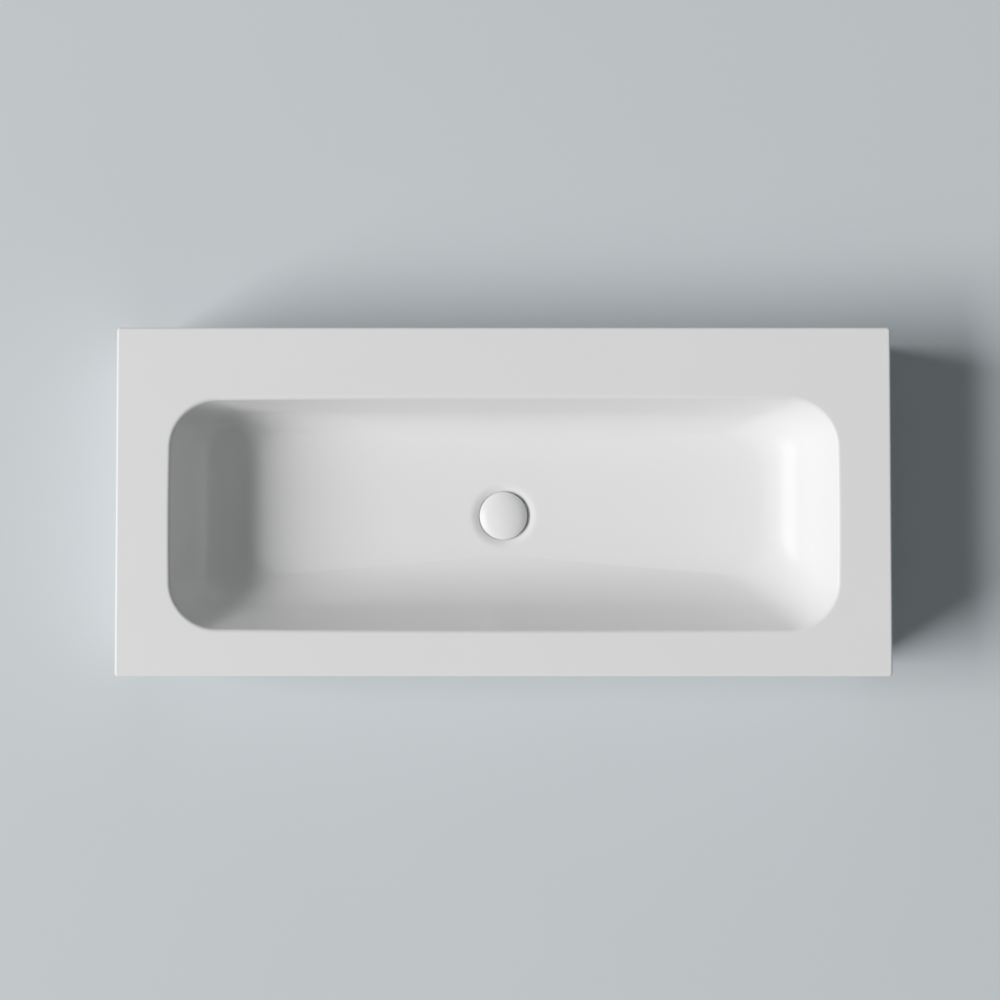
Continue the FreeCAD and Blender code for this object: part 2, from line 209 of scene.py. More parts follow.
def noise(board, scale, detail, roughness):
    where = board.node("ShaderNodeTexCoord", out="Object")
    return board.node("ShaderNodeTexNoise", {},
                      {"Vector": where, "Scale": scale, "Detail": detail, "Roughness": roughness})


def paint(tone, share=1.0):
    return (*[part * share for part in tone], 1)


def bumped(board, strength, distance, height):
    return board.node("ShaderNodeBump", {}, {"Strength": strength, "Distance": distance, "Height": height})


def blackToWhite(start, end):
    return [(start, (0, 0, 0)), (end, (1, 1, 1))]


# vitreous china: white glaze with a faint drift of tone, a soft waviness and bare biscuit underneath
# drift, pits and grain are a noise's scale, detail and roughness, and ripple its detail and roughness
glaze = {
    "white": (0.80, 0.80, 0.795), "shade": (0.765, 0.768, 0.765),
    "biscuit": (0.62, 0.585, 0.53), "darkBiscuit": 0.86,
    "drift": (7.0, 3.0, 0.5), "pits": (900.0, 1.0, 0.5), "grain": (420.0, 6.0, 0.7),
    "ripple": (2.0, 0.45), "basinRipple": 60.0, "capRipple": 90.0,
    "roughness": 0.30, "roughnessDrift": 0.04, "driftMiddle": 0.5, "bareRoughness": 0.55, "refraction": 1.52,
    "pitHeight": 0.02, "grainHeight": 0.5, "bumpStrength": 0.12, "bumpDistance": 0.0006,
}


def glazeFinish(name, rippleScale):
    material, board = newFinish(name)
    drift = noise(board, *glaze["drift"])
    pits = noise(board, *glaze["pits"])
    grain = noise(board, *glaze["grain"])
    ripple = noise(board, rippleScale, *glaze["ripple"])
    bare = board.node("ShaderNodeAttribute", {"attribute_name": "bare"}, out="Fac")
    tone = board.mixed(drift, paint(glaze["white"]), paint(glaze["shade"]))
    clay = board.mixed(grain, paint(glaze["biscuit"]), paint(glaze["biscuit"], glaze["darkBiscuit"]))
    wear = (drift - glaze["driftMiddle"]) * glaze["roughnessDrift"]
    roughness = glaze["roughness"] + wear + bare * glaze["bareRoughness"]
    height = ripple * (1 - bare) + pits * glaze["pitHeight"] + bare * grain * glaze["grainHeight"]
    bump = bumped(board, glaze["bumpStrength"], glaze["bumpDistance"], height)
    closeFinish(board, {"Base Color": board.mixed(bare, tone, clay), "Roughness": roughness, "Normal": bump,
                        "IOR": glaze["refraction"]})
    return material


basinGlaze = glazeFinish("basin_glaze", glaze["basinRipple"])
capGlaze = glazeFinish("cap_glaze", glaze["capRipple"])
print("glazes mixed")

# metals: polished or turned, with the tool's fine rings and a little tarnish
drainLine = sum((corner.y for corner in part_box("plug_stem")), 0.0) / 2
# wander and tarnish are a noise's detail and roughness
turning = {"wander": (2.0, 0.5), "wanderRatio": 6, "wanderTurn": 5, "tarnish": (4.0, 0.6),
           "spots": blackToWhite(0.42, 0.72), "bumpStrength": 0.35}
chrome = {"bright": (0.66, 0.67, 0.68), "dull": (0.52, 0.53, 0.545), "roughness": 0.07,
          "roughnessDrift": 0.14, "blotch": 90.0, "ringPitch": 0.0009, "ringDepth": 0.00002}
brass = {"bright": (0.70, 0.50, 0.21), "dull": (0.44, 0.29, 0.12), "roughness": 0.24,
         "roughnessDrift": 0.3, "blotch": 150.0, "ringPitch": 0.0005, "ringDepth": 0.00006}
steel = {"bright": (0.50, 0.50, 0.51), "dull": (0.33, 0.32, 0.32), "roughness": 0.22,
         "roughnessDrift": 0.25, "blotch": 400.0, "ringPitch": 0.0003, "ringDepth": 0.00003}


def metalFinish(name, look):
    material, board = newFinish(name)
    x, y, z = board.parts(board.node("ShaderNodeTexCoord", out="Object"))
    across = y - drainLine
    reach = board.root(x * x + across * across)
    wander = noise(board, look["blotch"] * turning["wanderRatio"], *turning["wander"])
    turns = (reach + z) * (2 * math.pi / look["ringPitch"])
    rings = board.sine(turns + wander * turning["wanderTurn"])
    tarnish = noise(board, look["blotch"], *turning["tarnish"])
    spots = board.node("ShaderNodeValToRGB", {"stops": turning["spots"]}, {0: tarnish})
    tone = board.mixed(spots, paint(look["bright"]), paint(look["dull"]))
    roughness = look["roughness"] + tarnish * tarnish * look["roughnessDrift"]
    bump = bumped(board, turning["bumpStrength"], look["ringDepth"], rings + tarnish)
    closeFinish(board, {"Base Color": tone, "Metallic": 1.0, "Roughness": roughness, "Normal": bump})
    return material


# rubber and moulded plastics: a fine grain, paler where dust and scale settle
# grain and cloud are a noise's detail and roughness
moulding = {"grain": (3.0, 0.6), "cloud": (4.0, 0.55), "cloudRatio": 14, "cloudRoughness": 0.22,
            "settled": blackToWhite(0.45, 0.8), "bumpStrength": 0.6}
rubber = {"tone": (0.026, 0.026, 0.028), "dust": (0.075, 0.073, 0.07), "roughness": 0.62,
          "grain": 1400.0, "grainDepth": 0.00008}
nylon = {"tone": (0.78, 0.765, 0.70), "dust": (0.68, 0.665, 0.61), "roughness": 0.40,
         "grain": 700.0, "grainDepth": 0.00003}
acetal = {"tone": (0.80, 0.81, 0.815), "dust": (0.70, 0.705, 0.70), "roughness": 0.30,
          "grain": 900.0, "grainDepth": 0.00002}
carrier = {"tone": (0.050, 0.051, 0.055), "dust": (0.10, 0.10, 0.10), "roughness": 0.45,
           "grain": 1100.0, "grainDepth": 0.00006}


def mouldedFinish(name, look):
    material, board = newFinish(name)
    grain = noise(board, look["grain"], *moulding["grain"])
    cloud = noise(board, look["grain"] / moulding["cloudRatio"], *moulding["cloud"])
    settled = board.node("ShaderNodeValToRGB", {"stops": moulding["settled"]}, {0: cloud})
    tone = board.mixed(settled, paint(look["tone"]), paint(look["dust"]))
    roughness = look["roughness"] + cloud * moulding["cloudRoughness"]
    bump = bumped(board, moulding["bumpStrength"], look["grainDepth"], grain)
    closeFinish(board, {"Base Color": tone, "Roughness": roughness, "Normal": bump})
    return material


chromePlate = metalFinish("chrome", chrome)
turnedBrass = metalFinish("brass", brass)
springSteel = metalFinish("spring_steel", steel)
blackRubber = mouldedFinish("rubber", rubber)
paleNylon = mouldedFinish("nylon", nylon)
whiteAcetal = mouldedFinish("acetal", acetal)
carrierPlastic = mouldedFinish("carrier_plastic", carrier)
print("metals and plastics mixed")


def ruleGroup(name, inputs, outputs, rule):
    # a node group with number inputs; an output whose name ends in Point is a vector
    tree = bpy.data.node_groups.new(name, "GeometryNodeTree")
    for item in inputs:
        tree.interface.new_socket(item, in_out="INPUT", socket_type="NodeSocketFloat")
    for item in outputs:
        kind = "NodeSocketVector" if item.endswith("Point") else "NodeSocketFloat"
        tree.interface.new_socket(item, in_out="OUTPUT", socket_type=kind)
    board = Board(tree)
    entry = board.node("NodeGroupInput")
    results = rule(board, *[entry.out(item) for item in inputs])
    board.node("NodeGroupOutput", {}, dict(enumerate(results)))

    def use(onBoard, *values):
        first = onBoard.node("GeometryNodeGroup", {"node_tree": tree}, dict(enumerate(values)))
        made = [first.out(item) for item in outputs]
        return made if len(made) > 1 else made[0]

    return use


def bandRule(b, rows, columns):
    # which lap and which row a vertex of a grid stands for
    index = b.node("GeometryNodeInputIndex")
    column = b.maths("FLOOR", (index + 0.5) / rows)  # the half keeps rounding out of the floor
    return column / columns, (index - column * rows) / (rows - 1)


def sidesRule(b, lap):
    # four sides and four corners: how far along the sides, and which way the wall faces
    def ramp(start):
        # rises over one eighth of the lap, from a start counted in quarters
        return b.maths("MULTIPLY_ADD", lap, 8, -2 * start, clamp=True)

    alongX = 1 - 2 * ramp(1) + 2 * ramp(3)
    alongY = 2 * ramp(0) - 2 * ramp(2) - 1
    turn = (ramp(0.5) + ramp(1.5) + ramp(2.5) + ramp(3.5)) * quarterTurn
    return alongX, alongY, b.cosine(turn), b.sine(turn)


def skirtRule(b, alongX, alongY, outX, outY, halfLength, halfWidth, corner, inset, z):
    x = alongX * (halfLength - corner) + (corner - inset) * outX
    y = alongY * (halfWidth - corner) + (corner - inset) * outY
    return [b.vector(x, y, z)]


def ringRule(b, alongX, alongY, outX, outY, reach, front, rear, corner, stand, z, longBow, shortBow):
    # a level of the bowl, whose sides are bowed
    half = (rear - front) / 2
    x = alongX * (reach - corner) + (corner + stand) * outX
    y = alongY * (half - corner) + (corner + stand) * outY
    bowedX = x * (1 - y * y / (2 * shortBow * reach))
    bowedY = (front + rear) / 2 + y * (1 - x * x / (2 * longBow * half))
    return [b.vector(bowedX, bowedY, z)]


def rimRule(b, outX, outY, share, radius, endLean, frontLean, rearLean):
    # the rounding from the deck into walls of different lean
    slant = (b.maths("ABSOLUTE", outX) * b.tangent(endLean)
             + b.maths("MAXIMUM", outY, 0) * b.tangent(rearLean)
             + b.maths("MAXIMUM", -outY, 0) * b.tangent(frontLean))
    lean = b.maths("ARCTANGENT", slant)
    roll = share * (quarterTurn - lean)
    stand = radius * ((1 - b.sine(lean)) / b.cosine(lean) - b.sine(roll))
    return stand, radius * (1 - b.cosine(roll))


def turnRule(b, lap, radius, z, middleY):
    # a point of a turned piece, whose lap starts a sixteenth of a turn back to line up with the bowl's
    turn = (lap * 4 - 0.25) * quarterTurn
    return [b.vector(radius * b.cosine(turn), middleY + radius * b.sine(turn), z)]


def footRule(b, run, depth, lean, toe):
    # the radius of the arc that joins a leaning wall to the floor
    swing = b.cosine(toe) - b.sine(lean)
    slant = b.tangent(lean)
    return [(run - depth * slant) / (b.cosine(lean) - b.sine(toe) - swing * slant)]


def insetRule(b, depth, full, run, lean, radius):
    # how far the front or rear wall has come in at a depth
    rise = 1 - (full - depth) / radius
    onArc = run - radius * b.root(b.maths("MAXIMUM", 1 - rise * rise, 0))
    straight = depth < full - radius * (1 - b.sine(lean))
    return [onArc + straight * (depth * b.tangent(lean) - onArc)]


def endRule(b, inset, endDepth, full, run, lean, toe, radius, rimReach, floorReach):
    # depth along the end wall, its curve and the long shallow floor
    slope = b.maths("ARCSINE", b.maths("MINIMUM", (run - inset) / radius + b.sine(toe), 1))
    onArc = endDepth + radius * (b.cosine(slope) - b.cosine(toe))
    way = (rimReach - inset) / floorReach
    onFloor = full - (full - endDepth) * way * way
    slant = b.tangent(lean)
    straight = inset < (endDepth - radius * (b.cosine(toe) - b.sine(lean))) * slant
    return [onArc + straight * (inset / slant - onArc) + (inset > run) * (onFloor - onArc)]


def sideRule(b, inset, full, run, lean, radius):
    # depth of the front or rear wall at a distance from the rim
    way = b.maths("MULTIPLY", (run - inset) / radius, 1, clamp=True)
    onArc = full - radius * (1 - b.root(1 - way * way))
    slant = b.tangent(lean)
    straight = inset < (full - radius * (1 - b.sine(lean))) * slant
    return [onArc + straight * (inset / slant - onArc)]


def spreadRule(b, share, margin):
    # four rows, two of them close to the ends
    def third(number):
        return b.maths("MULTIPLY_ADD", share, 3, -number, clamp=True)

    return [margin * third(0) + (1 - 2 * margin) * third(1) + margin * third(2)]


sides = ["alongX", "alongY", "outX", "outY"]
wall = ["full", "run", "lean", "radius"]
bandShare = ruleGroup("bandShare", ["rows", "columns"], ["lap", "share"], bandRule)
lapSides = ruleGroup("lapSides", ["lap"], sides, sidesRule)
skirtPoint = ruleGroup("skirtPoint", sides + ["halfLength", "halfWidth", "corner", "inset", "z"],
                       ["skirtPoint"], skirtRule)
ringPoint = ruleGroup("ringPoint", sides + ["reach", "front", "rear", "corner", "stand", "z", "longBow",
                                            "shortBow"], ["ringPoint"], ringRule)
rimRoll = ruleGroup("rimRoll", ["outX", "outY", "share", "radius", "endLean", "frontLean", "rearLean"],
                    ["stand", "drop"], rimRule)
turnPoint = ruleGroup("turnPoint", ["lap", "radius", "z", "middleY"], ["turnPoint"], turnRule)
footRadius = ruleGroup("footRadius", ["run", "depth", "lean", "toe"], ["radius"], footRule)
wallInset = ruleGroup("wallInset", ["depth"] + wall, ["inset"], insetRule)
endDepthAt = ruleGroup("endDepthAt", ["inset", "endDepth", "full", "run", "lean", "toe", "radius", "rimReach",
                                      "floorReach"], ["depth"], endRule)
sideDepthAt = ruleGroup("sideDepthAt", ["inset"] + wall, ["depth"], sideRule)
rowSpread = ruleGroup("rowSpread", ["share", "margin"], ["share"], spreadRule)
print("rules drawn")

# what the face attribute "bare" says, and the rows of the plainest bands
glazed = 0.0
bareClay = 1.0
straightRows = 2
spreadRows = 4


def marked(board, mesh, bare):
    return board.node("GeometryNodeStoreNamedAttribute", {"data_type": "FLOAT", "domain": "FACE"},
                      {"Geometry": mesh, "Name": "bare", "Value": bare})


def merged(board, operation, sockets):
    return board.node("GeometryNodeMeshBoolean", {"operation": operation, "solver": "MANIFOLD"}, sockets)


class Bands:
    # strips of quads round a piece, that share their columns and are welded edge to edge
    def __init__(self, board, columns, middleY):
        self.board = board
        self.columns = columns
        self.middleY = middleY
        self.strips = []

    def turned(self, lap, radius, z):
        return turnPoint(self.board, lap, radius, z, self.middleY)

    def between(self, fromRadius, fromZ, toRadius, toZ):
        # a straight turned band: a tube, a cone or a flat ring
        def row(lap, v):
            return self.turned(lap, fromRadius + (toRadius - fromRadius) * v, fromZ + (toZ - fromZ) * v)

        return row

    def add(self, rows, rule, bare=glazed):
        b = self.board
        grid = b.node("GeometryNodeMeshGrid", {}, {"Vertices X": self.columns + 1, "Vertices Y": rows})
        lap, share = bandShare(b, rows, self.columns)
        placed = b.node("GeometryNodeSetPosition", {}, {"Geometry": grid, "Position": rule(lap, share)})
        self.strips.append(marked(b, placed, bare))

    def weld(self, distance=0.00001):
        joined = self.board.node("GeometryNodeJoinGeometry", {}, {0: self.strips})
        return self.board.node("GeometryNodeMergeByDistance", {}, {"Geometry": joined, "Distance": distance})


# the basin: bands that follow the bowl's rule, from the foot over the rim to the drain and back underneath
basinLow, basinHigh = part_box("basin_body")
basinSize = basinHigh - basinLow
basin = {
    "sizes": {
        "Length": basinSize.x, "Width": basinSize.y, "Height": basinSize.z,
        "Corner Radius": 0.0045, "Top Edge": 0.0032, "Foot Edge": 0.0012,
        "Skirt Wall": 0.011, "Deck Thickness": 0.014, "Bowl Wall": 0.011, "Hollow Corner": 0.014,
        "Side Deck": 0.0693, "Front Deck": 0.058, "Rear Deck": 0.092,
        "Rim Radius": 0.006, "Rim Corner": 0.0605, "Long Bow": 45.0, "Short Bow": 5.0,
        "Bowl Depth": 0.104, "Floor Fall": 0.006, "Drain Flat": 0.070,
        "End Run": 0.084, "Front Run": 0.102, "Rear Run": 0.060,
        "End Lean": math.radians(20), "Front Lean": math.radians(25), "Rear Lean": math.radians(10),
        "Recess Radius": 0.032, "Recess Depth": 0.010, "Recess Edge": 0.0008,
        "Lip Radius": 0.024, "Lip Angle": math.radians(37),
        "Hole Radius": 0.023, "Seat Thickness": 0.013, "Boss Radius": 0.039,
        "Web Offset": 0.215, "Web Thickness": 0.010, "Web Foot Gap": 0.014,
        "Fixing Spacing": 0.280, "Fixing Height": 0.104, "Fixing Hole": 0.007,
        "Pad Radius": 0.021, "Pad Depth": 0.024,
    },
    "columns": 256, "footRows": 6, "topRows": 8, "rimRows": 11, "bowlRows": 72, "flatRows": 5,
    "lipRows": 12, "recessRows": 8, "bossRows": 4, "underRows": 40, "webColumns": 72, "boltSides": 64,
    "levelSpread": 6.3, "margin": 0.02, "sharpDegrees": 40,
}


def makeBasin():
    board, s = geometryTree("basinRule", basin["sizes"])
    height = s["Height"]
    halfLength = s["Length"] / 2
    halfWidth = s["Width"] / 2
    rimReach = halfLength - s["Side Deck"]
    rimFront = s["Front Deck"] - halfWidth
    rimRear = halfWidth - s["Rear Deck"]
    bands = Bands(board, basin["columns"], (rimFront + rimRear) / 2)
    turned = bands.turned
    between = bands.between

    # the bowl's walls, each with the arc that joins it to the floor
    floorReach = rimReach - s["End Run"]
    endDepth = s["Bowl Depth"] - s["Floor Fall"]
    flatShare = s["Drain Flat"] / floorReach
    floorSag = s["Floor Fall"] / (1 - flatShare * flatShare)
    full = endDepth + floorSag
    toe = board.maths("ARCTANGENT", 2 * floorSag / floorReach)
    endRadius = footRadius(board, s["End Run"], endDepth, s["End Lean"], toe)
    frontRadius = footRadius(board, s["Front Run"], full, s["Front Lean"], 0)
    rearRadius = footRadius(board, s["Rear Run"], full, s["Rear Lean"], 0)
    endWall = (endDepth, full, s["End Run"], s["End Lean"], toe, endRadius, rimReach, floorReach)
    frontWall = (full, s["Front Run"], s["Front Lean"], frontRadius)
    rearWall = (full, s["Rear Run"], s["Rear Lean"], rearRadius)
    leans = (s["End Lean"], s["Front Lean"], s["Rear Lean"])
    bows = (s["Long Bow"], s["Short Bow"])

    # levels and edges
    floorZ = height - s["Bowl Depth"]
    seatZ = floorZ - s["Recess Depth"]
    bossZ = seatZ - s["Seat Thickness"]
    underZ = floorZ - s["Bowl Wall"]
    deckUnderZ = height - s["Deck Thickness"]
    skirtWall, bowlWall, hole, boss = s["Skirt Wall"], s["Bowl Wall"], s["Hole Radius"], s["Boss Radius"]
    corner, footEdge, topEdge = s["Corner Radius"], s["Foot Edge"], s["Top Edge"]
    hollowCorner = skirtWall + s["Hollow Corner"]
    endSlant = board.tangent(s["End Lean"])
    rimStart = s["Rim Radius"] * endSlant
    deckRing = (s["Deck Thickness"] - bowlWall) * endSlant
    fullInset = rimReach - s["Drain Flat"]
    recess, recessEdge, lip, lipAngle = s["Recess Radius"], s["Recess Edge"], s["Lip Radius"], s["Lip Angle"]
    lipSine = board.sine(lipAngle)
    lipX = recess + recessEdge * (1 - lipSine) + lip * lipSine
    lipDrop = lip * (1 - board.cosine(lipAngle))
    edgeZ = floorZ - lipDrop - recessEdge * board.cosine(lipAngle)

    def skirt(lap, inset, rounding, z):
        return skirtPoint(board, *lapSides(board, lap), halfLength, halfWidth, rounding, inset, z)

    def bowl(lap, inset, growth):
        depth = endDepthAt(board, inset, *endWall)
        fromFront = wallInset(board, depth, *frontWall)
        fromRear = wallInset(board, depth, *rearWall)
        return ringPoint(board, *lapSides(board, lap), rimReach - inset + growth,
                         rimFront + fromFront - growth, rimRear - fromRear + growth,
                         s["Rim Corner"] + growth, 0, height - depth - growth, *bows)

    def rim(lap, share):
        around = lapSides(board, lap)
        stand, drop = rimRoll(board, *around[2:], share, s["Rim Radius"], *leans)
        return ringPoint(board, *around, rimReach, rimFront, rimRear, s["Rim Corner"], stand, height - drop,
                         *bows)

    def spread(share):
        return rowSpread(board, share, basin["margin"])

    def growing(share):
        total = basin["levelSpread"]
        return (total ** share - 1) / (total - 1)

    def footRound(lap, v):
        roll = v * quarterTurn
        return skirt(lap, footEdge * (1 - board.sine(roll)), corner, footEdge * (1 - board.cosine(roll)))

    def skirtSide(lap, v):
        return skirt(lap, 0, corner, footEdge + (height - footEdge - topEdge) * spread(v))

    def topRound(lap, v):
        roll = v * quarterTurn
        inset = topEdge * (1 - board.cosine(roll))
        return skirt(lap, inset, corner, height - topEdge * (1 - board.sine(roll)))

    def deck(lap, v):
        return board.mixed(spread(v), skirt(lap, topEdge, corner, height), rim(lap, 0))

    def bowlSide(lap, v):
        return bowl(lap, rimStart + (fullInset - rimStart) * growing(v), 0)

    def lipRound(lap, v):
        roll = v * lipAngle
        return turned(lap, lipX - lip * board.sine(roll), floorZ - lip * (1 - board.cosine(roll)))

    def recessRound(lap, v):
        roll = lipAngle + v * (quarterTurn - lipAngle)
        radius = recess + recessEdge * (1 - board.sine(roll))
        return turned(lap, radius, edgeZ + recessEdge * board.cosine(roll))

    def recessSide(lap, v):
        return turned(lap, recess, edgeZ + (seatZ - edgeZ) * spread(v))

    def underSide(lap, v):
        return bowl(lap, deckRing + (fullInset - deckRing) * growing(1 - v), bowlWall)

    def hollowSide(lap, v):
        return skirt(lap, skirtWall, hollowCorner, deckUnderZ * (1 - v))

    def across(first, second):
        # a straight band from one ring to another
        return lambda lap, v: board.mixed(v, first(lap), second(lap))

    # skirt, deck and rim
    bands.add(basin["footRows"], footRound)
    bands.add(spreadRows, skirtSide)
    bands.add(basin["topRows"], topRound)
    bands.add(spreadRows, deck)
    bands.add(basin["rimRows"], rim)
    # bowl, flat and recess
    bands.add(straightRows, across(lambda lap: rim(lap, 1), lambda lap: bowl(lap, rimStart, 0)))
    bands.add(basin["bowlRows"], bowlSide)
    bands.add(basin["flatRows"], across(lambda lap: bowl(lap, fullInset, 0),
                                        lambda lap: turned(lap, lipX, floorZ)))
    bands.add(basin["lipRows"], lipRound)
    bands.add(basin["recessRows"], recessRound)
    bands.add(spreadRows, recessSide)
    bands.add(straightRows, between(recess, seatZ, hole, seatZ))
    # underneath, bare biscuit
    bands.add(straightRows, between(hole, seatZ, hole, bossZ), bareClay)
    bands.add(straightRows, between(hole, bossZ, boss, bossZ), bareClay)
    bands.add(straightRows, between(boss, bossZ, boss, underZ), bareClay)
    bands.add(basin["bossRows"], across(lambda lap: turned(lap, boss, underZ),
                                        lambda lap: bowl(lap, fullInset, bowlWall)), bareClay)
    bands.add(basin["underRows"], underSide, bareClay)
    bands.add(straightRows, across(lambda lap: bowl(lap, deckRing, bowlWall),
                                   lambda lap: skirt(lap, skirtWall, hollowCorner, deckUnderZ)), bareClay)
    bands.add(straightRows, hollowSide, bareClay)
    bands.add(straightRows, across(lambda lap: skirt(lap, skirtWall, hollowCorner, 0),
                                   lambda lap: skirt(lap, footEdge, corner, 0)), bareClay)

    def web(side):
        # a cube whose top is drawn up into the middle of the bowl's wall
        size = board.vector(s["Web Thickness"], s["Width"] - skirtWall, 1)
        block = board.node("GeometryNodeMeshCube", {}, {"Size": size, "Vertices Y": basin["webColumns"]})
        x, y, z = board.parts(board.node("GeometryNodeInputPosition"))
        half = bowlWall / 2
        frontDepth = sideDepthAt(board, y - rimFront + half, *frontWall)
        rearDepth = sideDepthAt(board, rimRear + half - y, *rearWall)
        inBowl = height - half - board.maths("MINIMUM", frontDepth, rearDepth)
        crest = board.maths("MINIMUM", inBowl, height - s["Deck Thickness"] / 2)
        level = s["Web Foot Gap"] + (z > 0) * (crest - s["Web Foot Gap"])
        spot = board.vector(x + side * s["Web Offset"], y, level)
        drawn = board.node("GeometryNodeSetPosition", {}, {"Geometry": block, "Position": spot})
        return marked(board, drawn, bareClay)

    def bolt(side, radius, nearY, farY):
        # a post along Y, for a pad or for the hole through it
        post = board.node("GeometryNodeMeshCylinder", {},
                          {"Vertices": basin["boltSides"], "Radius": radius, "Depth": farY - nearY})
        spot = board.vector(side * s["Fixing Spacing"] / 2, (nearY + farY) / 2, s["Fixing Height"])
        laid = board.node("GeometryNodeTransform", {},
                          {"Geometry": post, "Rotation": (quarterTurn, 0, 0), "Translation": spot})
        return marked(board, laid, bareClay)

    # webs under the bowl, pads and holes for the wall bolts
    padDepth = s["Pad Depth"]
    innerY = halfWidth - padDepth
    added = [bands.weld()]
    holes = []
    for side in (-1, 1):
        added.append(web(side))
        added.append(bolt(side, s["Pad Radius"], innerY, halfWidth - skirtWall / 2))
        holes.append(bolt(side, s["Fixing Hole"], innerY - padDepth, halfWidth + padDepth))
    body = merged(board, "UNION", {1: added})
    body = merged(board, "DIFFERENCE", {0: body, 1: holes})
    return growPiece("basin_shell", board, body, basin["sizes"], basinGlaze)


basinPiece = makeBasin()
settleMesh(basinPiece, basin["sharpDegrees"])
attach(basinPiece, "basin")
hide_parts("basin_body")

# the plug's domed cover
capLow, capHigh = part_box("plug_cap")
cap = {
    "sizes": {
        "Radius": (capHigh.x - capLow.x) / 2, "Foot": capLow.z, "Middle": (capLow.y + capHigh.y) / 2,
        "Edge Height": 0.0033, "Crown Radius": 0.092, "Crown Reach": 0.021, "Shoulder Radius": 0.034,
        "Top Edge": 0.0014, "Foot Edge": 0.0008, "Hub Radius": 0.011, "Hub Rise": 0.0045,
    },
    "columns": 192, "crownRows": 24, "shoulderRows": 20, "topRows": 10, "sideRows": 3, "footRows": 8,
    "sharpDegrees": 40,
}


def makeCap():
    board, s = geometryTree("capRule", cap["sizes"])
    bands = Bands(board, cap["columns"], s["Middle"])
    turned = bands.turned
    between = bands.between

    def legLength(longSide, shortSide):
        return board.root(longSide * longSide - shortSide * shortSide)

    radius, foot, hub = s["Radius"], s["Foot"], s["Hub Radius"]
    topEdge, footEdge = s["Top Edge"], s["Foot Edge"]
    crown, shoulder = s["Crown Radius"], s["Shoulder Radius"]
    bend = board.maths("ARCSINE", s["Crown Reach"] / crown)
    shoulderX = s["Crown Reach"] - shoulder * board.sine(bend)
    shoulderZ = foot + s["Edge Height"] - legLength(shoulder, radius - shoulderX)
    crownZ = shoulderZ - (crown - shoulder) * board.cosine(bend)
    topX = radius - topEdge
    topZ = shoulderZ + legLength(shoulder - topEdge, topX - shoulderX)
    brink = board.maths("ARCSINE", (topX - shoulderX) / (shoulder - topEdge))
    hubZ = foot + s["Hub Rise"]

    def crownRow(lap, v):
        return turned(lap, crown * board.sine(v * bend), crownZ + crown * board.cosine(v * bend))

    def shoulderRow(lap, v):
        roll = bend + v * (brink - bend)
        return turned(lap, shoulderX + shoulder * board.sine(roll), shoulderZ + shoulder * board.cosine(roll))

    def topRow(lap, v):
        roll = brink + v * (quarterTurn - brink)
        return turned(lap, topX + topEdge * board.sine(roll), topZ + topEdge * board.cosine(roll))

    def footRow(lap, v):
        roll = v * quarterTurn
        inset = footEdge * (1 - board.cosine(roll))
        return turned(lap, radius - inset, foot + footEdge * (1 - board.sine(roll)))

    bands.add(cap["crownRows"], crownRow)
    bands.add(cap["shoulderRows"], shoulderRow)
    bands.add(cap["topRows"], topRow)
    bands.add(cap["sideRows"], between(radius, topZ, radius, foot + footEdge))
    bands.add(cap["footRows"], footRow)
    bands.add(straightRows, between(radius - footEdge, foot, hub, foot), bareClay)
    bands.add(straightRows, between(hub, foot, hub, hubZ), bareClay)
    bands.add(straightRows, between(hub, hubZ, 0, hubZ), bareClay)
    return growPiece("plug_cover", board, bands.weld(), cap["sizes"], capGlaze)


capPiece = makeCap()
settleMesh(capPiece, cap["sharpDegrees"])
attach(capPiece, "plug")
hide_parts("plug_cap")

# the waste: flange, threaded tail and the spider that holds the cartridge
wasteLow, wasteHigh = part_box("waste_body")
waste = {
    "sizes": {
        "Middle": (wasteLow.y + wasteHigh.y) / 2, "Foot": wasteLow.z, "Top": wasteHigh.z,
        "Flange Radius": (wasteHigh.x - wasteLow.x) / 2, "Flange Thickness": 0.0025, "Flange Bevel": 0.0015,
        "Throat Bevel": 0.0018, "Bore": 0.018, "Neck Radius": 0.0202155, "Neck Foot": 0.0185,
        "Tail Radius": 0.020955, "Tail Chamfer": 0.0012, "Thread Pitch": 0.002309, "Thread Depth": 0.00148,
        "Hub Bore": 0.0085, "Hub Radius": 0.0115, "Spider Foot": 0.021, "Spider Height": 0.007,
        "Arm Width": 0.004, "Arm Height": 0.0068,
    },
    "columns": 128, "bevelRows": 4, "flangeRows": 3, "shoulderRows": 3, "threadRows": 96, "mouthRows": 3,
    "hubColumns": 64, "arms": 4, "flankGain": 1.3, "flankShift": -0.15, "sharpDegrees": 32,
}


def threadRule(b, lap, z, foot, radius, chamfer, pitch, depth):
    # a helical groove with rounded crests, chamfered at the open end
    swing = b.maths("ABSOLUTE", b.maths("FRACT", z / pitch - lap) * 2 - 1)
    flank = b.maths("MULTIPLY_ADD", swing, waste["flankGain"], waste["flankShift"], clamp=True)
    crest = radius - depth * flank * flank * (3 - 2 * flank)
    return [b.maths("MINIMUM", crest, radius - chamfer + z - foot)]


threadRadius = ruleGroup("threadRadius", ["lap", "z", "foot", "radius", "chamfer", "pitch", "depth"],
                         ["radius"], threadRule)


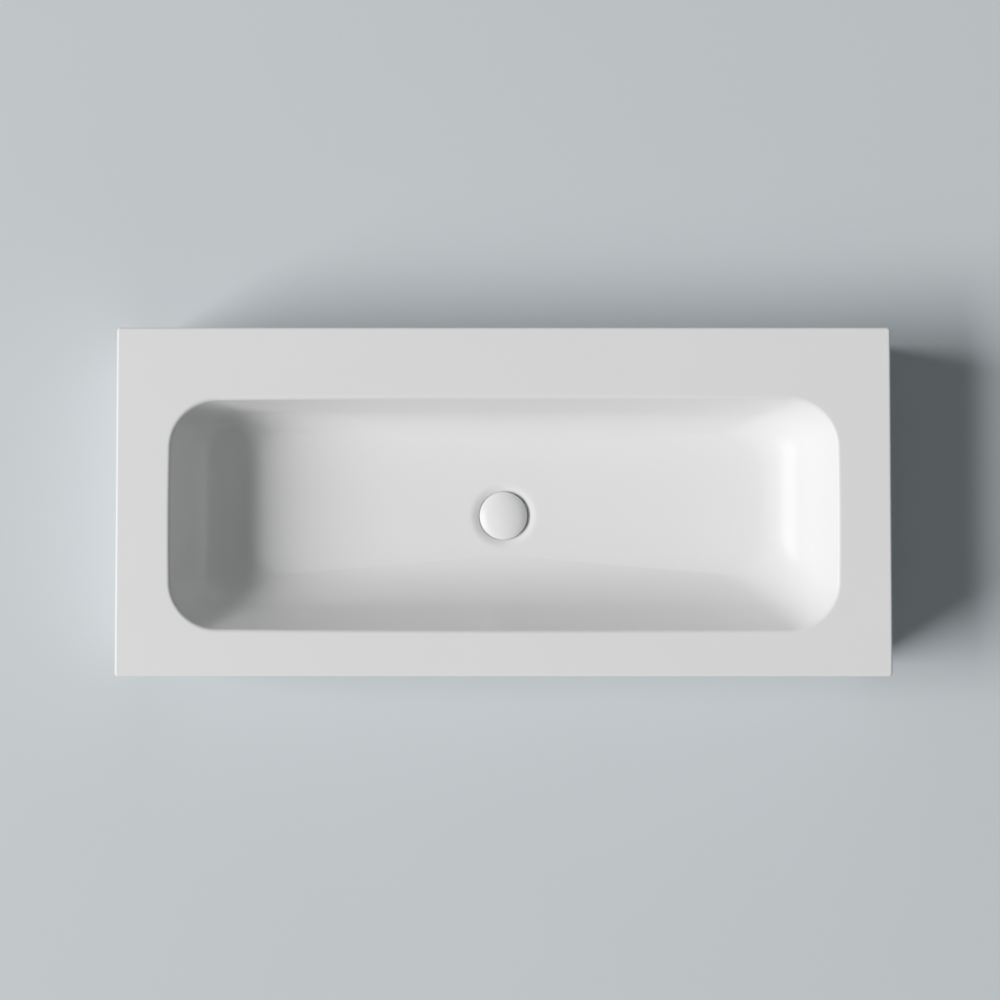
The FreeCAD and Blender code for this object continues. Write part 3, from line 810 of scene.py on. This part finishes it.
def makeWaste():
    board, s = geometryTree("wasteRule", waste["sizes"])
    tube = Bands(board, waste["columns"], s["Middle"])
    hub = Bands(board, waste["hubColumns"], s["Middle"])
    turned = tube.turned
    between = tube.between
    top, foot, bore, neck, flange = s["Top"], s["Foot"], s["Bore"], s["Neck Radius"], s["Flange Radius"]
    neckFoot, throat, bevel = s["Neck Foot"], s["Throat Bevel"], s["Flange Bevel"]
    flangeFoot = top - s["Flange Thickness"]

    def onThread(lap, z):
        return threadRadius(board, lap, z, foot, s["Tail Radius"], s["Tail Chamfer"], s["Thread Pitch"],
                            s["Thread Depth"])

    def threadRow(lap, v):
        z = neckFoot + (foot - neckFoot) * v
        return turned(lap, onThread(lap, z), z)

    def shoulderRow(lap, v):
        return turned(lap, neck + (onThread(lap, neckFoot) - neck) * v, neckFoot)

    def mouthRow(lap, v):
        start = onThread(lap, foot)
        return turned(lap, start + (bore - start) * v, foot)

    tube.add(straightRows, between(bore, foot, bore, top - throat))
    tube.add(waste["bevelRows"], between(bore, top - throat, bore + throat, top))
    tube.add(waste["flangeRows"], between(bore + throat, top, flange - bevel, top))
    tube.add(waste["bevelRows"], between(flange - bevel, top, flange, top - bevel))
    tube.add(straightRows, between(flange, top - bevel, flange, flangeFoot))
    tube.add(straightRows, between(flange, flangeFoot, neck, flangeFoot))
    tube.add(straightRows, between(neck, flangeFoot, neck, neckFoot))
    tube.add(waste["shoulderRows"], shoulderRow)
    tube.add(waste["threadRows"], threadRow)
    tube.add(waste["mouthRows"], mouthRow)

    # the spider: a hub, and arms from it to the tail
    hubBore, hubRadius, hubFoot = s["Hub Bore"], s["Hub Radius"], s["Spider Foot"]
    hubTop = hubFoot + s["Spider Height"]
    hub.add(straightRows, between(hubBore, hubFoot, hubBore, hubTop))
    hub.add(straightRows, between(hubBore, hubTop, hubRadius, hubTop))
    hub.add(straightRows, between(hubRadius, hubTop, hubRadius, hubFoot))
    hub.add(straightRows, between(hubRadius, hubFoot, hubBore, hubFoot))
    start = (hubBore + hubRadius) / 2
    end = (bore + neck) / 2
    size = board.vector(end - start, s["Arm Width"], s["Arm Height"])
    arm = board.node("GeometryNodeMeshCube", {}, {"Size": size})
    arm = board.node("GeometryNodeTransform", {},
                     {"Geometry": arm, "Translation": board.vector((start + end) / 2, 0, 0)})
    centre = board.vector(0, s["Middle"], hubFoot + s["Spider Height"] / 2)
    spots = board.node("GeometryNodeMeshLine", {},
                       {"Count": waste["arms"], "Offset": (0, 0, 0), "Start Location": centre})
    turn = board.node("GeometryNodeInputIndex") * (2 * math.pi / waste["arms"])
    arms = board.node("GeometryNodeInstanceOnPoints", {},
                      {"Points": spots, "Instance": arm, "Rotation": board.vector(0, 0, turn)})
    arms = board.node("GeometryNodeRealizeInstances", {}, {0: arms})

    # both turned parts run up the inside and down the outside, so their faces are flipped before the union
    turnedParts = [board.node("GeometryNodeFlipFaces", {}, {0: part.weld()}) for part in (tube, hub)]
    body = merged(board, "UNION", {1: turnedParts + [arms]})
    return growPiece("threaded_waste", board, body, waste["sizes"], chromePlate)


wastePiece = makeWaste()
settleMesh(wastePiece, waste["sharpDegrees"])
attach(wastePiece, "basin")
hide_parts("waste_body")

# the finishes of the frame's own pieces
dressed = {
    "lower_gasket": blackRubber, "flange_gasket": blackRubber, "plug_seal": blackRubber,
    "stem_wiper_ring": blackRubber, "slip_washer": paleNylon, "back_nut": turnedBrass,
    "plug_stem": turnedBrass, "stem_lock_nut": turnedBrass, "cartridge_gland": turnedBrass,
    "cartridge_housing": whiteAcetal, "latch_rotor": whiteAcetal, "cartridge_base": whiteAcetal,
    "plug_carrier": carrierPlastic, "cartridge_spring": springSteel,
    "basin_body": basinGlaze, "plug_cap": capGlaze, "waste_body": chromePlate,
}
for nodeName, finish in dressed.items():
    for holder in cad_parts[nodeName].material_slots:
        holder.material = finish
print("frame pieces dressed")

# floor, light, sky and film
studio = {
    "floorTone": (0.52, 0.57, 0.595), "floorShade": 0.96, "floorDrift": (2.0, 4.0, 0.5),
    "floorRoughness": 0.8, "floorHalf": 6.0,
    "keyDistance": 24.0, "keyAzimuth": math.radians(191), "keyHeight": math.radians(32.4),
    "keyWidth": 17.0, "keyDepth": 11.6, "keyPower": 8700.0,
    "skyTone": (0.96, 0.985, 1.0), "skyPower": 0.184, "horizonShare": 0.15, "backdrop": 0.55,
    "brightest": 2.0, "filmCurve": [(0.33, 0.66), (0.59, 0.89), (0.75, 0.96)], "combinedCurve": 3,
}


def makeFloor():
    half = studio["floorHalf"]
    corners = [(-half, -half, 0), (half, -half, 0), (half, half, 0), (-half, half, 0)]
    mesh = bpy.data.meshes.new("floor")
    mesh.from_pydata(corners, [], [(0, 1, 2, 3)])
    material, board = newFinish("floor_paint")
    drift = noise(board, *studio["floorDrift"])
    tone = board.mixed(drift, paint(studio["floorTone"]), paint(studio["floorTone"], studio["floorShade"]))
    closeFinish(board, {"Base Color": tone, "Roughness": studio["floorRoughness"]})
    mesh.materials.append(material)
    floor = bpy.data.objects.new("floor", mesh)
    bpy.context.scene.collection.objects.link(floor)


def makeKey():
    # a softbox that faces the rim, placed by its bearing and its height as angles
    lamp = bpy.data.lights.new("key", "AREA")
    lamp.shape = "RECTANGLE"
    lamp.size = studio["keyWidth"]
    lamp.size_y = studio["keyDepth"]
    lamp.energy = studio["keyPower"]
    holder = bpy.data.objects.new("key", lamp)
    azimuth, height = studio["keyAzimuth"], studio["keyHeight"]
    level = math.cos(height)
    away = Vector((math.cos(azimuth) * level, math.sin(azimuth) * level, math.sin(height)))
    holder.location = Vector((0, 0, basinHigh.z)) + away * studio["keyDistance"]
    holder.rotation_euler = away.to_track_quat("Z", "Y").to_euler()
    bpy.context.scene.collection.objects.link(holder)


def makeSky():
    # brighter overhead than at the horizon, with a pale backdrop where the camera looks past the floor
    world = bpy.data.worlds.new("studio")
    world.use_nodes = True
    board = Board(world.node_tree)
    backdrop = world.node_tree.nodes["Background"]
    upward = board.parts(board.node("ShaderNodeTexCoord", out="Generated"))[2]
    rise = board.maths("MAXIMUM", upward, 0)
    share = studio["horizonShare"] + rise * (1 - studio["horizonShare"])
    seen = board.node("ShaderNodeLightPath", out="Is Camera Ray")
    strength = seen * studio["backdrop"] + (1 - seen) * share * studio["skyPower"]
    board.plug(backdrop.inputs["Color"], paint(studio["skyTone"]))
    board.plug(backdrop.inputs["Strength"], strength)
    bpy.context.scene.world = world


camera = {"lens": 50.0, "sensor": 36.0, "x": -0.0047, "y": -0.045, "aboveRim": 1.788,
          "tilt": math.radians(1.5)}


def makeCamera():
    data = bpy.data.cameras.new("camera")
    data.lens = camera["lens"]
    data.sensor_width = camera["sensor"]
    holder = bpy.data.objects.new("camera", data)
    holder.location = (camera["x"], camera["y"], basinHigh.z + camera["aboveRim"])
    holder.rotation_euler = (camera["tilt"], 0, 0)
    bpy.context.scene.collection.objects.link(holder)
    bpy.context.scene.camera = holder


def makeFilm():
    # straight up to the deck's white, then a soft shoulder for the lit wall
    view = bpy.context.scene.view_settings
    view.view_transform = "Standard"
    view.use_curve_mapping = True
    mapping = view.curve_mapping
    mapping.white_level = (studio["brightest"],) * 3
    for place, level in studio["filmCurve"]:
        mapping.curves[studio["combinedCurve"]].points.new(place, level)
    mapping.update()


makeFloor()
makeKey()
makeSky()
makeCamera()
makeFilm()
print("studio set")
